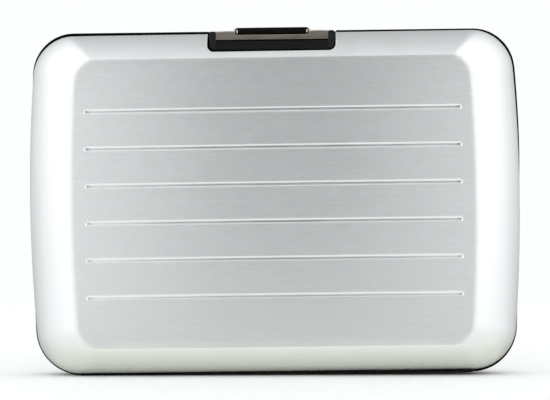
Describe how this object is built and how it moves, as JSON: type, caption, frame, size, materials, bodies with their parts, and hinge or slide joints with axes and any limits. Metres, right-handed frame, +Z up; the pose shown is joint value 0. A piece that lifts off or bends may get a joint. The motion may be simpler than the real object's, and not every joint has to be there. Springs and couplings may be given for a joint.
{
  "type": "card wallet",
  "caption": "Slim hinged aluminium card case with grooved faces, a sprung clasp at the top and an accordion of card pockets that fans as the cover opens.",
  "frame": {"origin": "middle of the base, on the seam plane between the two halves", "axes": "+X along the hinge, to the right when the front is seen; +Y from the front face to the rear face; +Z up from the hinge to the clasp"},
  "size_m": [0.11, 0.0196, 0.0776],
  "materials": {
    "shell_aluminium": "brushed panel, satin bands",
    "black_moulding": "satin",
    "pocket_film": "matte",
    "clasp_steel": "polished dark nickel",
    "pin_steel": "plain"
  },
  "bodies": {
    "rear": {"rear_shell": "shell_aluminium", "rear_frame": "black_moulding", "hinge_pin": "pin_steel", "latch_bracket": "black_moulding", "latch_pin": "pin_steel", "latch_spring": "pin_steel", "rear_pocket_wall": "pocket_film", "pleat_right_1": "pocket_film", "pleat_left_1": "pocket_film"},
    "leaf_1": {"pocket_leaf_1": "pocket_film", "pleat_right_2": "pocket_film", "pleat_left_2": "pocket_film"},
    "leaf_2": {"pocket_leaf_2": "pocket_film", "pleat_right_3": "pocket_film", "pleat_left_3": "pocket_film"},
    "leaf_3": {"pocket_leaf_3": "pocket_film", "pleat_right_4": "pocket_film", "pleat_left_4": "pocket_film"},
    "leaf_4": {"pocket_leaf_4": "pocket_film", "pleat_right_5": "pocket_film", "pleat_left_5": "pocket_film"},
    "leaf_5": {"pocket_leaf_5": "pocket_film", "pleat_right_6": "pocket_film", "pleat_left_6": "pocket_film"},
    "leaf_6": {"pocket_leaf_6": "pocket_film", "pleat_right_7": "pocket_film", "pleat_left_7": "pocket_film"},
    "front": {"front_shell": "shell_aluminium", "front_frame": "black_moulding", "catch_block": "black_moulding", "front_pocket_wall": "pocket_film"},
    "latch": {"latch_plate": "clasp_steel"}
  },
  "joints": [
    {"name": "cover_hinge", "type": "hinge", "parent": "rear", "child": "front", "pos_m": [0, 0, 0.0018], "axis": [1, 0, 0], "range_deg": [0, 50], "deforming": ["pleat_right_7", "pleat_left_7"]},
    {"name": "leaf_1_fold", "type": "hinge", "parent": "rear", "child": "leaf_1", "pos_m": [0, 0, 0.0018], "axis": [1, 0, 0], "range_deg": [0, 7.14], "deforming": ["pleat_right_1", "pleat_left_1"]},
    {"name": "leaf_2_fold", "type": "hinge", "parent": "leaf_1", "child": "leaf_2", "pos_m": [0, 0, 0.0018], "axis": [1, 0, 0], "range_deg": [0, 7.14], "deforming": ["pleat_right_2", "pleat_left_2"]},
    {"name": "leaf_3_fold", "type": "hinge", "parent": "leaf_2", "child": "leaf_3", "pos_m": [0, 0, 0.0018], "axis": [1, 0, 0], "range_deg": [0, 7.14], "deforming": ["pleat_right_3", "pleat_left_3"]},
    {"name": "leaf_4_fold", "type": "hinge", "parent": "leaf_3", "child": "leaf_4", "pos_m": [0, 0, 0.0018], "axis": [1, 0, 0], "range_deg": [0, 7.14], "deforming": ["pleat_right_4", "pleat_left_4"]},
    {"name": "leaf_5_fold", "type": "hinge", "parent": "leaf_4", "child": "leaf_5", "pos_m": [0, 0, 0.0018], "axis": [1, 0, 0], "range_deg": [0, 7.14], "deforming": ["pleat_right_5", "pleat_left_5"]},
    {"name": "leaf_6_fold", "type": "hinge", "parent": "leaf_5", "child": "leaf_6", "pos_m": [0, 0, 0.0018], "axis": [1, 0, 0], "range_deg": [0, 7.14], "deforming": ["pleat_right_6", "pleat_left_6"]},
    {"name": "latch_lift", "type": "hinge", "parent": "rear", "child": "latch", "pos_m": [0, 0.0062, 0.0753], "axis": [-1, 0, 0], "range_deg": [0, 50], "stiffness_Nm_per_rad": 0.006, "springref_deg": -28.65, "deforming": ["latch_spring"]}
  ],
  "couplings": [
    {"joint": "leaf_1_fold", "follows": "cover_hinge", "ratio": 0.14286},
    {"joint": "leaf_2_fold", "follows": "cover_hinge", "ratio": 0.14286},
    {"joint": "leaf_3_fold", "follows": "cover_hinge", "ratio": 0.14286},
    {"joint": "leaf_4_fold", "follows": "cover_hinge", "ratio": 0.14286},
    {"joint": "leaf_5_fold", "follows": "cover_hinge", "ratio": 0.14286},
    {"joint": "leaf_6_fold", "follows": "cover_hinge", "ratio": 0.14286}
  ]
}
